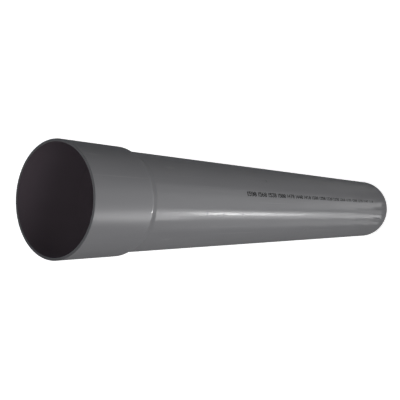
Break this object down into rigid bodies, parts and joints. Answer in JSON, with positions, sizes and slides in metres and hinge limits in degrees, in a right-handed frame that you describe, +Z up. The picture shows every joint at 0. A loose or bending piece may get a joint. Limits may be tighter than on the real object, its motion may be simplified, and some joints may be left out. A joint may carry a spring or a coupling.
{
  "type": "electrical conduit",
  "caption": "Straight length of rigid grey PVC cable conduit, with a plain push-on socket belled at its upper end and a chamfered spigot at its foot.",
  "frame": {"origin": "centre of the spigot's end, on the floor that the conduit stands on", "axes": "+Z up along the conduit's axis, from the spigot's end to the socket's mouth; +X and +Y square to it, and alike, because the conduit is round"},
  "size_m": [0.1327, 0.1328, 0.89],
  "materials": {
    "grey_pvc": "extruded PVC-U, satin gloss",
    "marking_ink": "dried ink-jet marking ink, matte"
  },
  "bodies": {
    "root": {"conduit": "grey_pvc"}
  },
  "joints": []
}
